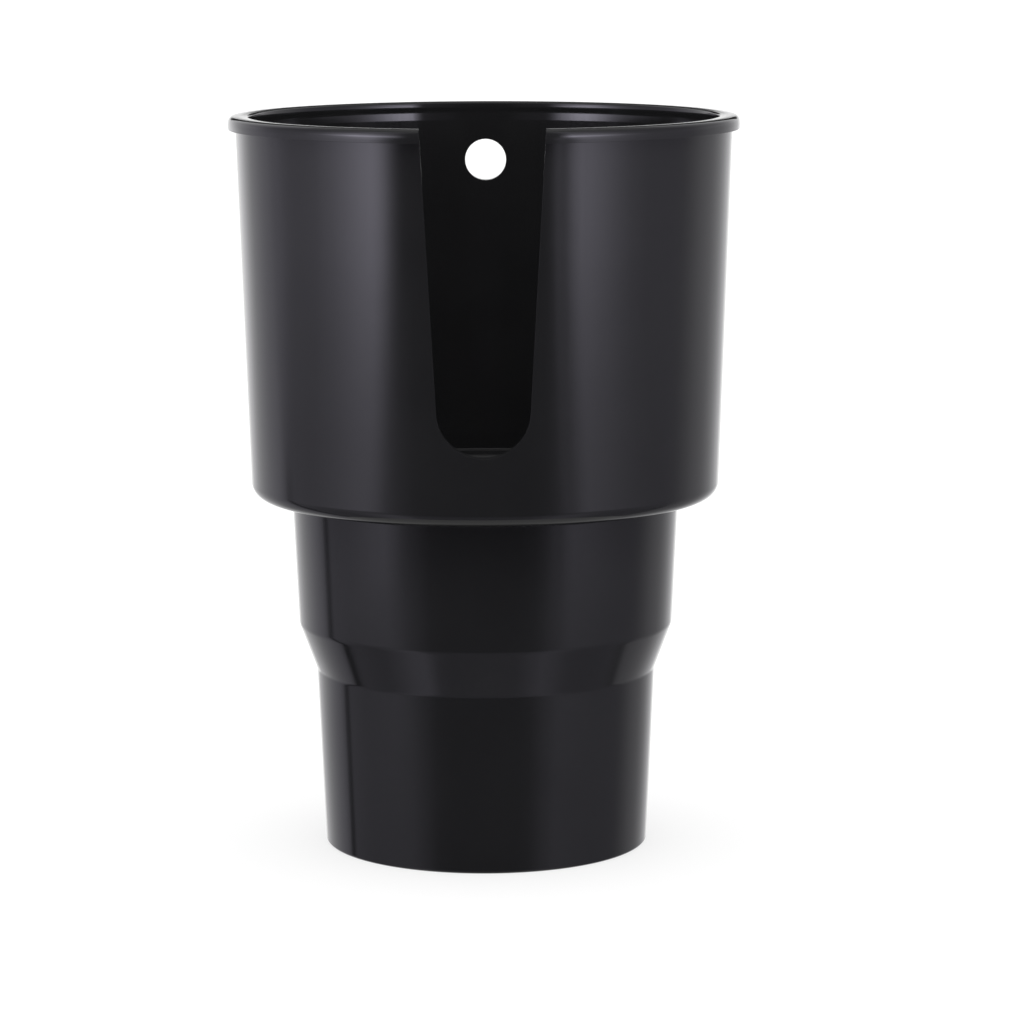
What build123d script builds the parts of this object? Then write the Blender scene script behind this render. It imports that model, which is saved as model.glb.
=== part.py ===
from build123d import *
import math
import os

os.makedirs("parts", exist_ok=True)

# Overall size in millimetres
height = 153.3
rim_diameter = 106.2

# Wall and floor, one moulded thickness
wall = 2.8

# Rim flange around the mouth
rim_thickness = 2.75
rim_overhang = 1.6
rim_outer_round = 1.2
rim_inner_round = 1.1

# Cup, the wide upper part that takes the mug
cup_bottom_diameter = 97.7
step_height = 73.9
step_round = 3.0
step_root_round = 1.2
ledge_thickness = 2.8
ledge_edge_round = 1.5

# Collar, the taper under the step
collar_top_diameter = 81.0
collar_bottom_diameter = 78.5

# Shoulder, the slope between collar and foot
shoulder_top = 46.9
shoulder_bottom = 37.2
shoulder_round = 3.0
shoulder_root_round = 2.2

# Foot, the narrow taper at the bottom, with a shallow recess under its floor
foot_top_diameter = 71.2
foot_bottom_diameter = 68.0
foot_edge_round = 0.6
floor_round = 2.0
ring_width = 4.0
ring_depth = 0.8

# Handle slot in the front wall, open through the rim
slot_depth = 65.3
slot_bottom_radius = 9.4
slot_taper = 3.15

# Round hole through the back wall
hole_diameter = 9.3
hole_drop = 12.7


def inner_radius(low, high, level):
    slope = (high[0] - low[0]) / (high[1] - low[1])
    return low[0] + (level - low[1]) * slope - wall / math.cos(math.atan(slope))


def inset(before, corner, after):
    first = (Vector(*corner) - Vector(*before)).normalized()
    second = (Vector(*after) - Vector(*corner)).normalized()
    inward = (first.rotate(Axis.Z, 90) + second.rotate(Axis.Z, 90)).normalized()
    half_bend = math.radians(first.get_angle(second)) / 2
    moved = Vector(*corner) + inward * (wall / math.cos(half_bend))
    return (moved.X, moved.Y)


# Outside corners, as radius and height, from the foot up to the rim
rim_radius = rim_diameter / 2
rim_bottom = height - rim_thickness
foot_edge = (foot_bottom_diameter / 2, 0)
shoulder_root = (foot_top_diameter / 2, shoulder_bottom)
shoulder_edge = (collar_bottom_diameter / 2, shoulder_top)
step_root = (collar_top_diameter / 2, step_height)
step_edge = (cup_bottom_diameter / 2, step_height)
rim_root = (rim_radius - rim_overhang, rim_bottom)
rim_under_edge = (rim_radius, rim_bottom)
rim_outer_edge = (rim_radius, height)

# Inside corners, one wall in from the outside, from the rim down to the floor
ledge_level = step_height + ledge_thickness
floor_level = ring_depth + wall
rim_inner_edge = (inner_radius(step_edge, rim_root, height), height)
ledge_root = (inner_radius(step_edge, rim_root, ledge_level), ledge_level)
ledge_edge = (inner_radius(shoulder_edge, step_root, ledge_level), ledge_level)
inner_shoulder_edge = inset(shoulder_root, shoulder_edge, step_root)
inner_shoulder_root = inset(foot_edge, shoulder_root, shoulder_edge)
floor_corner = (inner_radius(foot_edge, shoulder_root, floor_level), floor_level)
floor_center = (0, floor_level)

# Recess under the floor, inside the foot ring
recess_center = (0, ring_depth)
ring_root = (foot_edge[0] - ring_width, ring_depth)
ring_edge = (foot_edge[0] - ring_width, 0)

# Rounds at the step, limited by its width
step_width = step_edge[0] - step_root[0]
step_edge_round = min(step_round, step_width / 2)
step_inner_round = min(step_root_round, step_width / 2)

# Wall section from the axis outwards, rounded at its corners and turned about the axis
outline = Polyline(
    recess_center,
    ring_root,
    ring_edge,
    foot_edge,
    shoulder_root,
    shoulder_edge,
    step_root,
    step_edge,
    rim_root,
    rim_under_edge,
    rim_outer_edge,
    rim_inner_edge,
    ledge_root,
    ledge_edge,
    inner_shoulder_edge,
    inner_shoulder_root,
    floor_corner,
    floor_center,
    close=True,
)
corner_rounds = [
    (foot_edge, foot_edge_round),
    (shoulder_root, shoulder_root_round),
    (shoulder_edge, shoulder_round),
    (step_root, step_inner_round),
    (step_edge, step_edge_round),
    (rim_outer_edge, rim_outer_round),
    (rim_inner_edge, rim_inner_round),
    (ledge_edge, ledge_edge_round),
    (inner_shoulder_edge, shoulder_round),
    (inner_shoulder_root, shoulder_root_round),
    (floor_corner, floor_round),
]
section = Sketch() + make_face(outline)
for corner, radius in corner_rounds:
    section = fillet(section.vertices().sort_by_distance(corner)[0], radius)
turned = revolve(Plane.XZ * section, axis=Axis.Z)

# Handle slot with straight tapering sides that run tangent into a full-round bottom
taper = math.radians(slot_taper)
slot_center_level = height - slot_depth + slot_bottom_radius
tangent_half = slot_bottom_radius * math.cos(taper)
tangent_level = slot_center_level - slot_bottom_radius * math.sin(taper)
open_level = height + rim_thickness
open_half = tangent_half + (open_level - tangent_level) * math.tan(taper)
slot_sides = Polyline(
    (-open_half, open_level),
    (-tangent_half, tangent_level),
    (tangent_half, tangent_level),
    (open_half, open_level),
    close=True,
)
slot_face = make_face(slot_sides) + Pos(0, slot_center_level) * Circle(slot_bottom_radius)
slot_cutter = extrude(Plane.XZ * slot_face, amount=rim_diameter)
slotted = turned - slot_cutter

# Hole through the back wall, opposite the slot
hole_face = Pos(0, height - hole_drop) * Circle(hole_diameter / 2)
hole_cutter = extrude(Plane.XZ * hole_face, amount=-rim_diameter)
holder_body = slotted - hole_cutter

export_step(holder_body, "parts/holder_body.step")
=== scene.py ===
import math

import bpy
from mathutils import Matrix, Vector


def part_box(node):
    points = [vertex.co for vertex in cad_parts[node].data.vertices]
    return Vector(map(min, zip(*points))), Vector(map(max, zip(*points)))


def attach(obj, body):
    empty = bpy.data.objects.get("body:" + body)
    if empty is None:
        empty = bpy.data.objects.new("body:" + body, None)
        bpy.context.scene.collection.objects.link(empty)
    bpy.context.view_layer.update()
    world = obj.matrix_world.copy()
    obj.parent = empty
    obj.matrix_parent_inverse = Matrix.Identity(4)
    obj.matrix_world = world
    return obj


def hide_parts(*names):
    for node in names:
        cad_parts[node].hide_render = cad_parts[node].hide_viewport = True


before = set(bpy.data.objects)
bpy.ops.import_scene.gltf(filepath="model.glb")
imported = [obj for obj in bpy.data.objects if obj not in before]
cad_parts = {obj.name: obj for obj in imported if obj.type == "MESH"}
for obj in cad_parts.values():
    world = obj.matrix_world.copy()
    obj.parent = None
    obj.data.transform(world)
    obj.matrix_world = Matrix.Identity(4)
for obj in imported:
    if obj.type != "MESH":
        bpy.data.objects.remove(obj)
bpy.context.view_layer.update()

mm = 0.001
imageSide = 1024  # the photograph's frame in pixels


# sRGB hex to the linear colour that a shader socket takes
def hexColour(text):
    parts = [int(text[i:i + 2], 16) / 255 for i in (1, 3, 5)]
    linear = [c / 12.92 if c <= 0.04045 else ((c + 0.055) / 1.055) ** 2.4 for c in parts]
    return (*linear, 1.0)


# adds one node, sets its properties and its inputs: a value is set, an output is linked
def addNode(tree, kind, inputs=None, **settings):
    node = tree.nodes.new(kind)
    for name, value in settings.items():
        setattr(node, name, value)
    for socket, value in (inputs or {}).items():
        if isinstance(value, bpy.types.NodeSocket):
            tree.links.new(value, node.inputs[socket])
        else:
            node.inputs[socket].default_value = value
    return node


# fills a colour ramp with (position, grey level) stops
def setStops(ramp, stops):
    elements = ramp.color_ramp.elements
    while len(elements) < len(stops):
        elements.new(1.0)
    for element, (place, level) in zip(elements, sorted(stops)):
        element.position = place
        element.color = (level, level, level, 1.0)


def newMaterial(name):
    material = bpy.data.materials.new(name)
    material.use_nodes = True
    material.node_tree.nodes.clear()
    return material, material.node_tree


def meshObject(name, verts, faces):
    mesh = bpy.data.meshes.new(name)
    mesh.from_pydata(verts, [], faces)
    mesh.update()
    thing = bpy.data.objects.new(name, mesh)
    bpy.context.scene.collection.objects.link(thing)
    return thing


scene = bpy.context.scene
scene.view_settings.view_transform = "Standard"

# Camera: a long lens a little above the rim, looking down on the slot side
cameraSettings = {
    "focalPixels": 4077.3,
    "sensorWidth": 36.0,
    "place": (5.61, -848.37, 202.02),
    "pitch": 8.858,
    "roll": 0.142,
    "clip": (0.05, 60.0),  # metres
}


def addCamera(s):
    data = bpy.data.cameras.new("photoCamera")
    data.sensor_fit = "HORIZONTAL"
    data.sensor_width = s["sensorWidth"]
    data.lens = s["focalPixels"] * s["sensorWidth"] / imageSide
    data.clip_start, data.clip_end = s["clip"]
    camera = bpy.data.objects.new("photoCamera", data)
    scene.collection.objects.link(camera)
    tilt = Matrix.Rotation(math.radians(90 - s["pitch"]), 4, "X")
    roll = Matrix.Rotation(math.radians(-s["roll"]), 4, "Z")
    place = Matrix.Translation(Vector(s["place"]) * mm)
    camera.matrix_world = place @ tilt @ roll
    scene.camera = camera


addCamera(cameraSettings)
print("camera set")

# World: a soft plain light, stronger from overhead, and white where the camera looks past the floor.
# In gloss it is a white table all round below the horizon and a dim studio above it
worldSettings = {
    "backdrop": 1.0,
    # height of the direction, from straight down at 0 to straight up at 1, and the light's share there
    "plainStops": ((0.0, 0.17), (0.8, 0.17), (0.9, 1.0), (1.0, 1.0)),
    "plainLevel": 3.8,
    "glossStops": ((0.0, 0.55), (0.26, 0.6), (0.34, 1.0), (0.532, 1.0), (0.56, 0.0), (0.7, 0.03), (0.85, 0.3),
                   (1.0, 0.3)),
    "glossLevel": 1.2,
}


def addWorld(s):
    world = bpy.data.worlds.new("studio")
    world.use_nodes = True
    tree = world.node_tree
    tree.nodes.clear()
    ray = addNode(tree, "ShaderNodeLightPath")
    place = addNode(tree, "ShaderNodeTexCoord")
    axes = addNode(tree, "ShaderNodeSeparateXYZ", {"Vector": place.outputs["Generated"]})
    rise = addNode(tree, "ShaderNodeMapRange", {"Value": axes.outputs["Z"], "From Min": -1.0,
                                                "From Max": 1.0})
    lights = []
    for name in ("plain", "gloss"):
        ramp = addNode(tree, "ShaderNodeValToRGB", {"Fac": rise.outputs["Result"]})
        setStops(ramp, s[name + "Stops"])
        lights.append(addNode(tree, "ShaderNodeBackground", {"Color": ramp.outputs["Color"],
                                                             "Strength": s[name + "Level"]}))
    plain, mirrored = lights
    seen = addNode(tree, "ShaderNodeBackground", {"Color": (1, 1, 1, 1), "Strength": s["backdrop"]})
    shine = addNode(tree, "ShaderNodeMath", {0: ray.outputs["Is Glossy Ray"],
                                             1: ray.outputs["Is Transmission Ray"]}, operation="MAXIMUM")
    first = addNode(tree, "ShaderNodeMixShader", {0: shine.outputs[0], 1: plain.outputs[0],
                                                  2: mirrored.outputs[0]})
    second = addNode(tree, "ShaderNodeMixShader", {0: ray.outputs["Is Camera Ray"], 1: first.outputs[0],
                                                   2: seen.outputs[0]})
    addNode(tree, "ShaderNodeOutputWorld", {"Surface": second.outputs[0]})
    scene.world = world


addWorld(worldSettings)
print("world set")

# Floor: a grey table that is lifted to white for the camera and keeps the soft shadow under the foot
floorSettings = {
    "side": 40.0,
    "colour": "#808080",
    "cameraLift": 0.66,
}


def addFloor(s):
    half = s["side"] / 2
    corners = [(-half, -half, 0), (half, -half, 0), (half, half, 0), (-half, half, 0)]
    floor = meshObject("paleTable", corners, [(0, 1, 2, 3)])
    material, tree = newMaterial("matt table card")
    ray = addNode(tree, "ShaderNodeLightPath")
    card = addNode(tree, "ShaderNodeBsdfDiffuse", {"Color": hexColour(s["colour"])})
    lift = addNode(tree, "ShaderNodeMath", {0: ray.outputs["Is Camera Ray"], 1: s["cameraLift"]},
                   operation="MULTIPLY")
    glow = addNode(tree, "ShaderNodeEmission", {"Color": (1, 1, 1, 1), "Strength": lift.outputs[0]})
    both = addNode(tree, "ShaderNodeAddShader", {0: card.outputs[0], 1: glow.outputs[0]})
    addNode(tree, "ShaderNodeOutputMaterial", {"Surface": both.outputs[0]})
    floor.data.materials.append(material)
    floor.visible_glossy = False


addFloor(floorSettings)
print("floor set")

# Light tent: a curved screen round the front and sides that only the gloss mirrors. Dark in front,
# with a lit panel on either side that is brightest high up
tentSettings = {
    "radius": 900.0,
    "bottom": -1150.0,
    "top": 1100.0,
    "steps": 96,
    "ends": (-160.0, 160.0),
    # degrees round from the camera's side, to the right as positive, and the cloth's own level
    "cloth": ((-160, 0.86), (-152, 0.9), (-140, 0.77), (-125, 0.65), (-117, 0.59), (-112, 0.43),
              (-104, 0.35), (-87, 0.36), (-62, 0.44), (-52, 0.43), (-43, 0.3), (-33, 0.14), (-23, 0.11),
              (21, 0.1), (30, 0.14), (39, 0.29), (49, 0.42), (70, 0.36), (94, 0.29), (103, 0.28),
              (118, 0.44), (130, 0.48), (140, 0.61), (153, 0.87), (160, 0.9)),
    # the same far down, where the table takes over
    "skirt": ((-160, 0.9), (-153, 0.88), (-141, 0.57), (-124, 0.54), (-117, 0.5), (-113, 0.4),
              (-110.5, 0.16), (-106, 0.2), (-101, 0.29), (-78, 0.3), (-68, 0.43), (-57, 0.6), (-47, 0.66),
              (-37, 0.34), (-27, 0.28), (24, 0.29), (35, 0.42), (45, 0.55), (55, 0.47), (65, 0.34),
              (76, 0.3), (98, 0.26), (107, 0.17), (112, 0.4), (127, 0.44), (135, 0.47), (145, 0.63),
              (160, 0.86)),
    "skirtReach": ((-1150, 1.0), (-480, 1.0), (-330, 0.0), (1100, 0.0)),
    # share of the lit panels at each angle, and the same high up, where they are narrower
    "panel": ((-160, 0.13), (-146, 0.12), (-135, 0.05), (-119, 0.06), (-108, 0.13), (-98, 0.1), (-92, 0.12),
              (-82, 0.18), (-72, 0.36), (-64, 0.58), (-56, 0.86), (-50, 1.0), (-47.5, 0.85), (-45, 0.62),
              (-42, 0.28), (-40, 0.12), (-37, 0.0), (28, 0.0), (31, 0.06), (33, 0.25), (36, 0.14), (38, 0.27),
              (40, 0.46), (44, 0.7), (49, 0.6), (55, 0.46), (62, 0.29), (70, 0.15), (79, 0.08), (104, 0.04),
              (160, 0.03)),
    "crown": ((-160, 0.03), (-97, 0.03), (-85, 0.05), (-75, 0.15), (-68, 0.38), (-62, 0.68), (-57, 0.98),
              (-50, 1.0), (-45, 0.75), (-40, 0.46), (-36, 0.13), (-33, 0.0), (33, 0.0), (36, 0.4), (38, 0.95),
              (43, 0.88), (50, 0.68), (57, 0.4), (64, 0.17), (72, 0.07), (80, 0.03), (160, 0.03)),
    "crownReach": ((-1150, 0.0), (90, 0.0), (220, 1.0), (1100, 1.0)),
    # share of the angle that is read at each height, so that the panels stand wider apart low down
    "spread": ((-1150, 0.8), (-140, 0.81), (-80, 0.91), (-20, 0.98), (20, 1.0), (1100, 1.0)),
    # height in millimetres and the panels' level there, as a share of their peak
    "peak": 6.0,
    "rise": ((-1150, 0.0), (-255, 0.0), (-185, 0.017), (-165, 0.042), (-148, 0.082), (-111, 0.092),
             (-80, 0.117), (-42, 0.203), (-22, 0.258), (5, 0.385), (35, 0.42), (100, 0.44), (150, 0.485),
             (190, 0.62), (210, 0.95), (235, 1.0), (255, 0.9), (275, 0.62), (300, 0.5), (350, 0.33),
             (410, 0.14), (1100, 0.1)),
    # level of the whole tent. Its light is a little cool, save at the ends, where the white backdrop shows
    "level": 1.07,
    "tint": "#f1edff",
    "cool": ((-160, 0.1), (-140, 0.2), (-108, 1.0), (98, 1.0), (112, 0.5), (140, 0.2), (160, 0.1)),
    # dark places in the cloth: a narrow gap low down on the left, and the opening in front of the camera
    "gap": ((-160, 0.0), (-112.5, 0.0), (-110.5, 0.75), (-107.5, 0.75), (-105.0, 0.0), (160, 0.0)),
    "gapReach": ((-1150, 1.0), (-110, 1.0), (-60, 0.0), (1100, 0.0)),
    "opening": ((-160, 0.0), (-20, 0.0), (-12, 0.85), (12, 0.85), (20, 0.0), (160, 0.0)),
    "openingReach": ((-1150, 0.0), (-60, 0.0), (-20, 1.0), (1100, 1.0)),
}


def addTent(s):
    radius, steps = s["radius"] * mm, s["steps"]
    first, last = s["ends"]
    low, high = s["bottom"], s["top"]
    verts = []
    for step in range(steps + 1):
        angle = math.radians(first + (last - first) * step / steps)
        x, y = radius * math.sin(angle), -radius * math.cos(angle)
        verts += [(x, y, low * mm), (x, y, high * mm)]
    faces = [(2 * i, 2 * i + 2, 2 * i + 3, 2 * i + 1) for i in range(steps)]
    tent = meshObject("lightTent", verts, faces)
    material, tree = newMaterial("lit white tent cloth")
    place = addNode(tree, "ShaderNodeTexCoord")
    axes = addNode(tree, "ShaderNodeSeparateXYZ", {"Vector": place.outputs["Object"]})
    front = addNode(tree, "ShaderNodeMath", {0: axes.outputs["Y"], 1: -1.0}, operation="MULTIPLY")
    turn = addNode(tree, "ShaderNodeMath", {0: axes.outputs["X"], 1: front.outputs[0]},
                   operation="ARCTAN2").outputs[0]
    height = addNode(tree, "ShaderNodeMapRange", {"Value": axes.outputs["Z"], "From Min": low * mm,
                                                  "From Max": high * mm})

    # one ramp of the settings, over an angle in radians or over the height
    def readRamp(name, angle=None):
        share = height
        stops = [((level - low) / (high - low), value) for level, value in s[name]]
        if angle:
            share = addNode(tree, "ShaderNodeMapRange", {"Value": angle, "From Min": -math.pi,
                                                         "From Max": math.pi})
            stops = [(0.5 + degrees / 360, value) for degrees, value in s[name]]
        ramp = addNode(tree, "ShaderNodeValToRGB", {"Fac": share.outputs["Result"]})
        setStops(ramp, stops)
        return ramp.outputs["Color"]

    drawn = addNode(tree, "ShaderNodeMath", {0: turn, 1: readRamp("spread")}, operation="MULTIPLY").outputs[0]
    cloth = addNode(tree, "ShaderNodeMix", {"Factor": readRamp("skirtReach"), "A": readRamp("cloth", turn),
                                            "B": readRamp("skirt", turn)}).outputs["Result"]
    for name in ("gap", "opening"):
        shade = addNode(tree, "ShaderNodeMath", {0: readRamp(name, turn), 1: readRamp(name + "Reach")},
                        operation="MULTIPLY")
        clear = addNode(tree, "ShaderNodeMath", {0: 1.0, 1: shade.outputs[0]}, operation="SUBTRACT")
        cloth = addNode(tree, "ShaderNodeMath", {0: cloth, 1: clear.outputs[0]},
                        operation="MULTIPLY").outputs[0]
    panels = addNode(tree, "ShaderNodeMix", {"Factor": readRamp("crownReach"), "A": readRamp("panel", drawn),
                                             "B": readRamp("crown", turn)})
    lamp = addNode(tree, "ShaderNodeMath", {0: panels.outputs["Result"], 1: readRamp("rise")},
                   operation="MULTIPLY")
    lit = addNode(tree, "ShaderNodeMath", {0: lamp.outputs[0], 1: s["peak"], 2: cloth},
                  operation="MULTIPLY_ADD")
    level = addNode(tree, "ShaderNodeMath", {0: lit.outputs[0], 1: s["level"]}, operation="MULTIPLY")
    colour = addNode(tree, "ShaderNodeMixRGB", {"Fac": readRamp("cool", turn), "Color1": (1, 1, 1, 1),
                                                "Color2": hexColour(s["tint"])})
    glow = addNode(tree, "ShaderNodeEmission", {"Color": colour.outputs[0], "Strength": level.outputs[0]})
    addNode(tree, "ShaderNodeOutputMaterial", {"Surface": glow.outputs[0]})
    tent.data.materials.append(material)
    tent.visible_camera = False
    tent.visible_diffuse = False
    tent.visible_shadow = False


addTent(tentSettings)
print("tent set")

# Shell: the whole holder, moulded in one piece, in millimetres. Its height and rim come from the frame
shellSettings = {
    "wall": 2.8,
    "rimThickness": 2.75,
    "rimOverhang": 1.6,
    "rimBelly": 1.13,  # the flange bulges a little: its widest place above its lower edge, and how far
    "rimDraft": 0.075,  # it draws in below and above
    "rimLean": 0.255,
    "rimRounds": (0.12, 0.05, 4.6, 1.08, 0.45),  # root, lower edge, belly, outer edge, mouth
    "crownSlope": 5.0,  # degrees that the top falls to either side of its middle
    "crownRound": 10.0,
    "leadWidth": 0.06,  # a slight lead-in at the mouth, and how far down it goes
    "leadDrop": 0.95,
    "leadRound": 4.0,
    "sinkDrops": (1.32, 2.25, 4.0),  # the wall sinks a hair behind the flange, where the plastic is thick
    "sinkDepth": 0.052,
    "sinkRound": 6.0,
    "cupBottomRadius": 48.85,
    "stepHeight": 73.9,
    "stepRounds": (1.2, 3.0),  # root, edge
    "ledgeThickness": 2.8,
    "ledgeRounds": (0.4, 1.5),  # root, edge
    "collarRadii": (40.5, 39.25),
    "shoulderHeights": (46.9, 37.2),
    "shoulderRounds": (3.0, 2.2),  # edge, root
    "footRadii": (35.6, 34.0),
    "footRound": 0.6,
    "floorRound": 2.0,
    "ringWidth": 4.0,
    "ringDepth": 0.8,
    "ringRound": 0.3,
    "slotDepth": 65.3,
    "slotRadius": 9.4,
    "slotTaper": 3.15,
    "slotEdgeRound": 0.03,
    "holeRadius": 4.5,
    "holeDrop": 12.65,
    "holeEdgeRound": 0.1,
    "columns": 256,
    "roundStep": 10.0,  # degrees between two rows of a round
    "slotRows": 20,  # rows round half of the slot's bottom
    "slotSpacing": 6.0,  # between two rows of its straight sides
    "edgeSteps": 4,
    "holePatchHalf": 6.6,  # half height of the patch of wall round the hole, and half its columns
    "holePatchColumns": 6,
    "holeRows": 12,
    "weldGap": 0.02,  # a narrower slot is a closed row
}


def innerRadius(low, high, level, wall):
    slope = (high[0] - low[0]) / (high[1] - low[1])
    return low[0] + (level - low[1]) * slope - wall / math.cos(math.atan(slope))


# a corner moved one wall inwards, between the two runs that meet there
def insetCorner(before, corner, after, wall):
    first = (Vector(corner) - Vector(before)).normalized()
    second = (Vector(after) - Vector(corner)).normalized()
    inward = (first.orthogonal() + second.orthogonal()).normalized()
    return tuple(Vector(corner) + inward * wall / math.cos(first.angle(second) / 2))


# the wall's section as corners (radius, height, round), out along the foot, up, over the rim and down inside
def shellCorners(s, height, rimRadius):
    wall = s["wall"]
    foot = (s["footRadii"][1], 0)
    shoulderRoot = (s["footRadii"][0], s["shoulderHeights"][1])
    shoulderEdge = (s["collarRadii"][1], s["shoulderHeights"][0])
    stepRoot = (s["collarRadii"][0], s["stepHeight"])
    stepEdge = (s["cupBottomRadius"], s["stepHeight"])
    rimBottom = height - s["rimThickness"]
    rimRoot = (rimRadius - s["rimOverhang"], rimBottom)
    ringRadius = foot[0] - s["ringWidth"]
    ledge = s["stepHeight"] + s["ledgeThickness"]
    floor = s["ringDepth"] + wall
    fall = math.radians(s["crownSlope"])
    outerEdge = rimRadius - s["rimLean"]
    mouth = innerRadius(stepEdge, rimRoot, height, wall) + s["leadWidth"]
    crest = height + s["crownRound"] * (1 / math.cos(fall) - 1)
    brim = crest - (outerEdge - mouth) / 2 * math.tan(fall)
    bore = [(innerRadius(stepEdge, rimRoot, height - drop, wall) + depth, height - drop)
            for drop, depth in zip((s["leadDrop"], *s["sinkDrops"]), (0, 0, s["sinkDepth"], 0))]
    corners = [
        ((0, s["ringDepth"]), 0),
        ((ringRadius, s["ringDepth"]), s["ringRound"]),
        ((ringRadius, 0), s["ringRound"]),
        (foot, s["footRound"]),
        (shoulderRoot, s["shoulderRounds"][1]),
        (shoulderEdge, s["shoulderRounds"][0]),
        (stepRoot, s["stepRounds"][0]),
        (stepEdge, s["stepRounds"][1]),
        (rimRoot, s["rimRounds"][0]),
        ((rimRadius - s["rimDraft"], rimBottom), s["rimRounds"][1]),
        ((rimRadius, rimBottom + s["rimBelly"]), s["rimRounds"][2]),
        ((outerEdge, brim), s["rimRounds"][3]),
        (((outerEdge + mouth) / 2, crest), s["crownRound"]),
        ((mouth, brim), s["rimRounds"][4]),
        (bore[0], s["leadRound"]),
        *[(place, s["sinkRound"]) for place in bore[1:]],
        ((innerRadius(stepEdge, rimRoot, ledge, wall), ledge), s["ledgeRounds"][0]),
        ((innerRadius(shoulderEdge, stepRoot, ledge, wall), ledge), s["ledgeRounds"][1]),
        (insetCorner(shoulderRoot, shoulderEdge, stepRoot, wall), s["shoulderRounds"][0]),
        (insetCorner(foot, shoulderRoot, shoulderEdge, wall), s["shoulderRounds"][1]),
        ((innerRadius(foot, shoulderRoot, floor, wall), floor), s["floorRound"]),
        ((0, floor), 0),
    ]
    return [(Vector(place), size) for place, size in corners]


# rows (place, facing, level) along the section: rounds in steps, straight runs at the levels that cross them
def sectionRows(corners, levels, s):
    rows = []
    start = corners[0][0]
    for (before, _), (corner, size), (after, _) in zip(corners, corners[1:], corners[2:]):
        along, onward = (corner - before).normalized(), (after - corner).normalized()
        turn = math.atan2(along.cross(onward), along.dot(onward))
        bulge = math.copysign(size, turn)
        facing = Vector((along.y, -along.x))
        run = corner - along * size * math.tan(abs(turn) / 2) - start
        for level in sorted(levels, reverse=run.y < 0):
            climb = level + s["slotEdgeRound"] * facing.y - start.y
            if 0 < climb * run.y < run.y ** 2:
                rows.append((start + run * climb / run.y, facing, level))
        centre = start + run - facing * bulge
        steps = max(2, math.ceil(math.degrees(abs(turn)) / s["roundStep"]))
        for step in range(steps + 1):
            angle = turn * step / steps
            turned = facing * math.cos(angle) + facing.orthogonal() * math.sin(angle)
            rows.append((centre + turned * bulge, turned, None))
        start = rows[-1][0]
    return rows


# half width of the slot at a level, grown by its edge round, and the way that its side faces
def slotSide(s, height, level):
    taper = math.radians(s["slotTaper"])
    radius = s["slotRadius"] + s["slotEdgeRound"]
    drop = height - s["slotDepth"] + s["slotRadius"] - level
    if drop < radius * math.sin(taper):
        half = radius / math.cos(taper) - drop * math.tan(taper)
        return half, Vector((-math.cos(taper), 0, math.sin(taper)))
    half = math.sqrt(max(radius ** 2 - drop ** 2, 0.0))
    return half, Vector((-half / radius, 0, drop / radius))


# a point, or a way to face, turned about the axis from the slot's side towards +X
def polar(radius, turn, height):
    return Vector((radius * math.sin(turn), -radius * math.cos(turn), height))


# points of a mesh with the true normal at each, and its faces
class Skin:
    def __init__(self):
        self.points, self.normals, self.faces = [], [], []

    def addPoint(self, place, normal):
        self.points.append(place * mm)
        self.normals.append(normal)
        return len(self.points) - 1

    def addFace(self, corners, flip=False):
        self.faces.append(tuple(reversed(corners)) if flip else tuple(corners))

    # quads between two rows of points
    def addBand(self, first, second, flip=False, skip=range(0)):
        for j in range(len(first) - 1):
            if j not in skip:
                self.addFace((first[j], first[j + 1], second[j + 1], second[j]), flip)


# heights of the rows that the slot and the hole need: the slot's bottom, its sides, the wall beside the hole
def slotLevels(s, height):
    centre = height - s["slotDepth"] + s["slotRadius"]
    sweep = (90 - s["slotTaper"]) / s["slotRows"]
    reach = s["slotRadius"] + s["slotEdgeRound"]
    bottom = [centre - reach * math.cos(math.radians(sweep * k)) for k in range(s["slotRows"] + 1)]
    hole, half = height - s["holeDrop"], s["holePatchHalf"]
    beside = [hole + half * (2 * k / s["holeRows"] - 1) for k in range(s["holeRows"] + 1)]
    count = math.ceil((beside[0] - bottom[-1]) / s["slotSpacing"])
    sides = [bottom[-1] + (beside[0] - bottom[-1]) * k / count for k in range(1, count)]
    return bottom, sides, beside


# the rounded edge from a wall row to the slot's side, as points from the wall inwards
def addSlotEdge(skin, row, opening, sideFacing, mirror, s):
    place, facing, _ = row
    ease = s["slotEdgeRound"]
    heart = polar(place.x - facing.x * ease, opening, place.y - facing.y * ease)
    wallFacing = polar(facing.x, opening, facing.y)
    side = Vector((mirror, 1, 1))
    edge = []
    for step in range(1, s["edgeSteps"] + 1):
        normal = wallFacing.slerp(sideFacing, step / s["edgeSteps"])
        edge.append(skin.addPoint((heart + normal * ease) * side, normal * side))
    return edge


# loops of points round the hole in one wall, from the wall's surface over the edge into the bore
def addHoleEdge(skin, wallRows, angles, s, holeLevel):
    low, facing, _ = wallRows[0]
    run = wallRows[-1][0] - low
    ease = s["holeEdgeRound"]
    reach = s["holeRadius"] + ease
    loops = [[] for _ in range(s["edgeSteps"] + 1)]
    for angle in angles:
        x, z = reach * math.cos(angle), holeLevel + reach * math.sin(angle)
        radius = low.x + run.x * (z + ease * facing.y - low.y) / run.y - ease * facing.x
        turn = math.pi - math.asin(x / radius)
        heart, wallFacing = polar(radius, turn, z), polar(facing.x, turn, facing.y)
        boreFacing = Vector((-math.cos(angle), 0, -math.sin(angle)))
        for step, loop in enumerate(loops):
            normal = wallFacing.slerp(boreFacing, step / s["edgeSteps"])
            loop.append(skin.addPoint(heart + normal * ease, normal))
    return [loop + loop[:1] for loop in loops]


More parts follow.
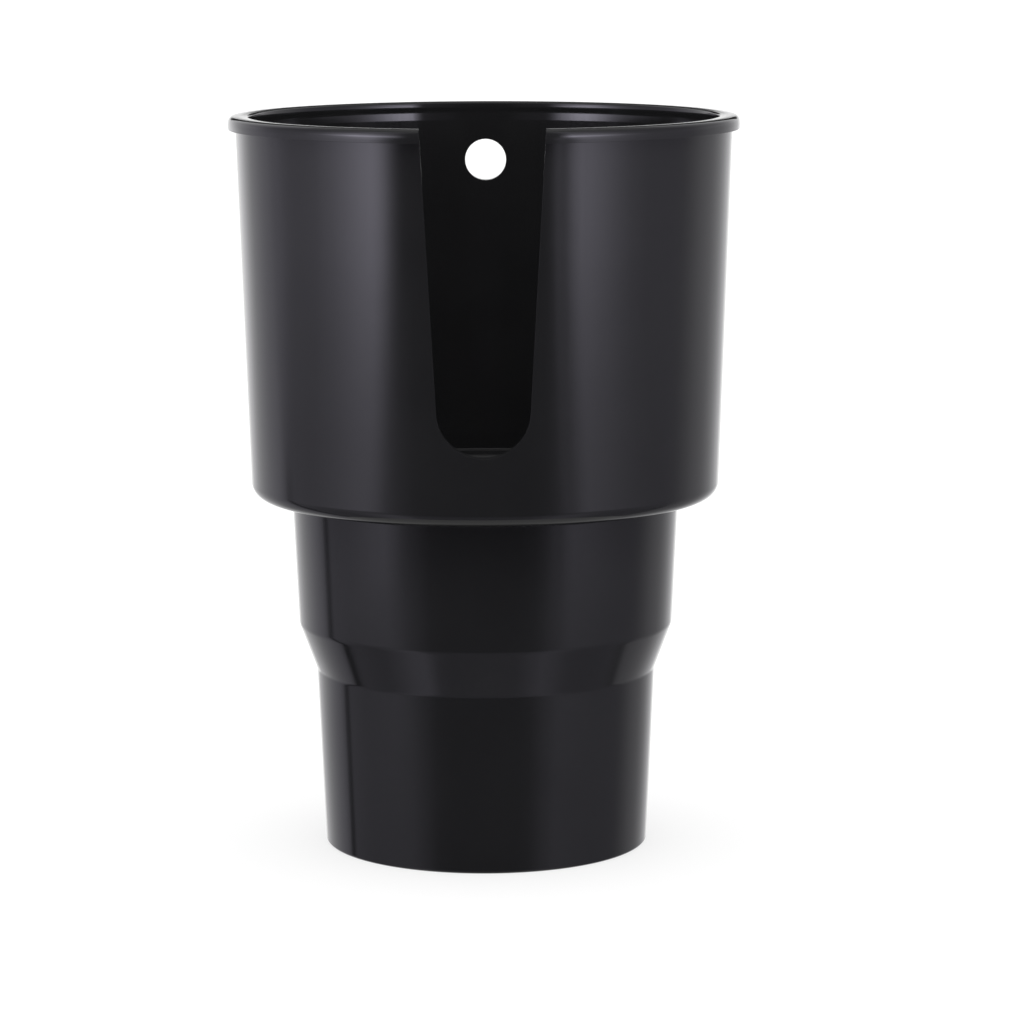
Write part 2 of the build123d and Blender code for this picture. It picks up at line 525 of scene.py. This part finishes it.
def addShell(s):
    top = Vector(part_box("holder_body")[1]) / mm
    height, rimRadius, columns = top.z, top.x, s["columns"]
    bottom, sides, beside = slotLevels(s, height)
    rows = sectionRows(shellCorners(s, height, rimRadius), bottom + sides + beside, s)
    crossing = {}  # level: the outer and the inner row there
    for i, row in enumerate(rows):
        crossing.setdefault(row[2], []).append(i)
    slotted = range(crossing[bottom[0]][0], crossing[bottom[0]][1] + 1)

    # rings of points, open where the slot is, with the slot's edge rounds at their ends
    skin = Skin()
    rings, edges = [], []
    for i, row in enumerate(rows):
        place, facing, _ = row
        heart = place - facing * s["slotEdgeRound"]
        half, sideFacing = slotSide(s, height, heart.y) if i in slotted else (0.0, None)
        isOpen = half > s["weldGap"]
        opening = math.asin(half / heart.x) if isOpen else 0.0
        step = (2 * math.pi - 2 * opening) / columns
        turns = [opening + step * j for j in range(columns + isOpen)]
        ring = [skin.addPoint(polar(place.x, t, place.y), polar(facing.x, t, facing.y)) for t in turns]
        rings.append(ring if isOpen else ring + ring[:1])
        right = addSlotEdge(skin, row, opening, sideFacing, 1, s) if i in slotted else []
        left = addSlotEdge(skin, row, opening, sideFacing, -1, s) if isOpen else right
        edges.append((right, left))

    # walls, left open round the hole
    paths = [right[::-1] + ring + left for ring, (right, left) in zip(rings, edges)]
    centre, span = columns // 2, s["holePatchColumns"]
    patch = range(centre - span + s["edgeSteps"], centre + span + s["edgeSteps"])
    besideRows = [i for level in beside[:-1] for i in crossing[level][:1]]
    besideRows += [i for level in beside[1:] for i in crossing[level][1:]]
    for i in range(len(rows) - 1):
        both = i in slotted and i + 1 in slotted
        first, second = (paths[i], paths[i + 1]) if both else (rings[i], rings[i + 1])
        skin.addBand(first, second, skip=patch if i in besideRows else range(0))
    for ring, level, way in ((rings[0], s["ringDepth"], -1), (rings[-1], s["ringDepth"] + s["wall"], 1)):
        pole = skin.addPoint(Vector((0, 0, level)), Vector((0, 0, way)))
        for j in range(columns):
            skin.addFace((ring[j], ring[j + 1], pole), flip=way < 0)

    # the slot's own faces: a round bottom, and a flat side up through the rim
    for side, flip in ((0, False), (1, True)):
        lip = {i: edges[i][side][-1] for i in slotted}
        for low, high in zip(bottom, bottom[1:]):
            (outerLow, innerLow), (outerHigh, innerHigh) = crossing[low], crossing[high]
            skin.addFace((lip[outerLow], lip[outerHigh], lip[innerHigh], lip[innerLow]), flip)
        outer, inner = crossing[bottom[-1]]
        skin.addFace([lip[i] for i in range(outer, inner + 1)], flip)

    # the hole: a patch of wall round its edge, outside and in, and the bore between
    angles, bores = None, []
    for wall in (0, 1):
        patchRows = [crossing[level][wall] for level in beside]
        across = range(centre - span, centre + span + 1)
        loop = [rings[patchRows[0]][j] for j in across[:-1]]
        loop += [rings[i][across[-1]] for i in patchRows[:-1]]
        loop += [rings[patchRows[-1]][j] for j in across[:0:-1]]
        loop += [rings[i][across[0]] for i in patchRows[:0:-1]]
        holeLevel = height - s["holeDrop"]
        if angles is None:
            angles = [math.atan2(skin.points[p].z / mm - holeLevel, skin.points[p].x / mm) for p in loop]
        loops = [loop + loop[:1]] + addHoleEdge(skin, [rows[i] for i in patchRows], angles, s, holeLevel)
        for first, second in zip(loops, loops[1:]):
            skin.addBand(first, second, flip=wall == 1)
        bores.append(loops[-1])
    skin.addBand(*bores)

    shell = meshObject("holderShell", skin.points, skin.faces)
    shell.data.shade_smooth()
    shell.data.normals_split_custom_set_from_vertices(skin.normals)
    return shell


# Gloss black ABS, injection moulded in a polished tool: deep black with clean mirrored edges, a little
# uneven where the melt cooled, and faint streaks along the way it was drawn from the tool
finishSettings = {
    "colours": ("#1a1a1b", "#1c1c1d"),
    "cloud": 14.0,  # millimetres across one patch of flow shading
    "cloudSpots": (0.35, 0.65),  # where in the noise the two colours lie
    "roughness": (0.08, 0.115),
    "streak": (0.8, 40.0),  # width and length, drawn wider than real polish so that it shows
    "streakSpan": (0.3, 0.7),  # part of the noise that the roughness is spread over
    "detail": 2.0,  # octaves of finer noise in the patches and the streaks
    "ior": 1.49,
    "wave": 7.0,  # millimetres from crest to crest of the cooled surface
    "waveHeight": 0.008,
    "waveDetail": 1.0,
}


def addShellMaterial(s):
    material, tree = newMaterial("gloss moulded ABS")
    place = addNode(tree, "ShaderNodeTexCoord").outputs["Object"]
    cloud = addNode(tree, "ShaderNodeTexNoise", {"Vector": place, "Scale": 1 / (s["cloud"] * mm),
                                                 "Detail": s["detail"]})
    tint = addNode(tree, "ShaderNodeValToRGB", {"Fac": cloud.outputs["Fac"]})
    for element, colour, spot in zip(tint.color_ramp.elements, s["colours"], s["cloudSpots"]):
        element.color, element.position = hexColour(colour), spot
    width, length = s["streak"]
    drawn = addNode(tree, "ShaderNodeMapping", {"Vector": place, "Scale": (1.0, 1.0, width / length)})
    streak = addNode(tree, "ShaderNodeTexNoise", {"Vector": drawn.outputs["Vector"],
                                                  "Scale": 1 / (width * mm), "Detail": s["detail"]})
    polish = addNode(tree, "ShaderNodeMapRange", {"Value": streak.outputs["Fac"],
                                                  "From Min": s["streakSpan"][0],
                                                  "From Max": s["streakSpan"][1],
                                                  "To Min": s["roughness"][0], "To Max": s["roughness"][1]})
    wave = addNode(tree, "ShaderNodeTexNoise", {"Vector": place, "Scale": 1 / (s["wave"] * mm),
                                                "Detail": s["waveDetail"]})
    bump = addNode(tree, "ShaderNodeBump", {"Height": wave.outputs["Fac"],
                                            "Distance": s["waveHeight"] * mm})
    shader = addNode(tree, "ShaderNodeBsdfPrincipled", {"Base Color": tint.outputs["Color"],
                                                         "Roughness": polish.outputs["Result"],
                                                         "IOR": s["ior"], "Normal": bump.outputs["Normal"]})
    addNode(tree, "ShaderNodeOutputMaterial", {"Surface": shader.outputs[0]})
    return material


shell = addShell(shellSettings)
shell.data.materials.append(addShellMaterial(finishSettings))
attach(shell, "root")
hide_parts("holder_body")
print("shell moulded:", len(shell.data.polygons), "faces")
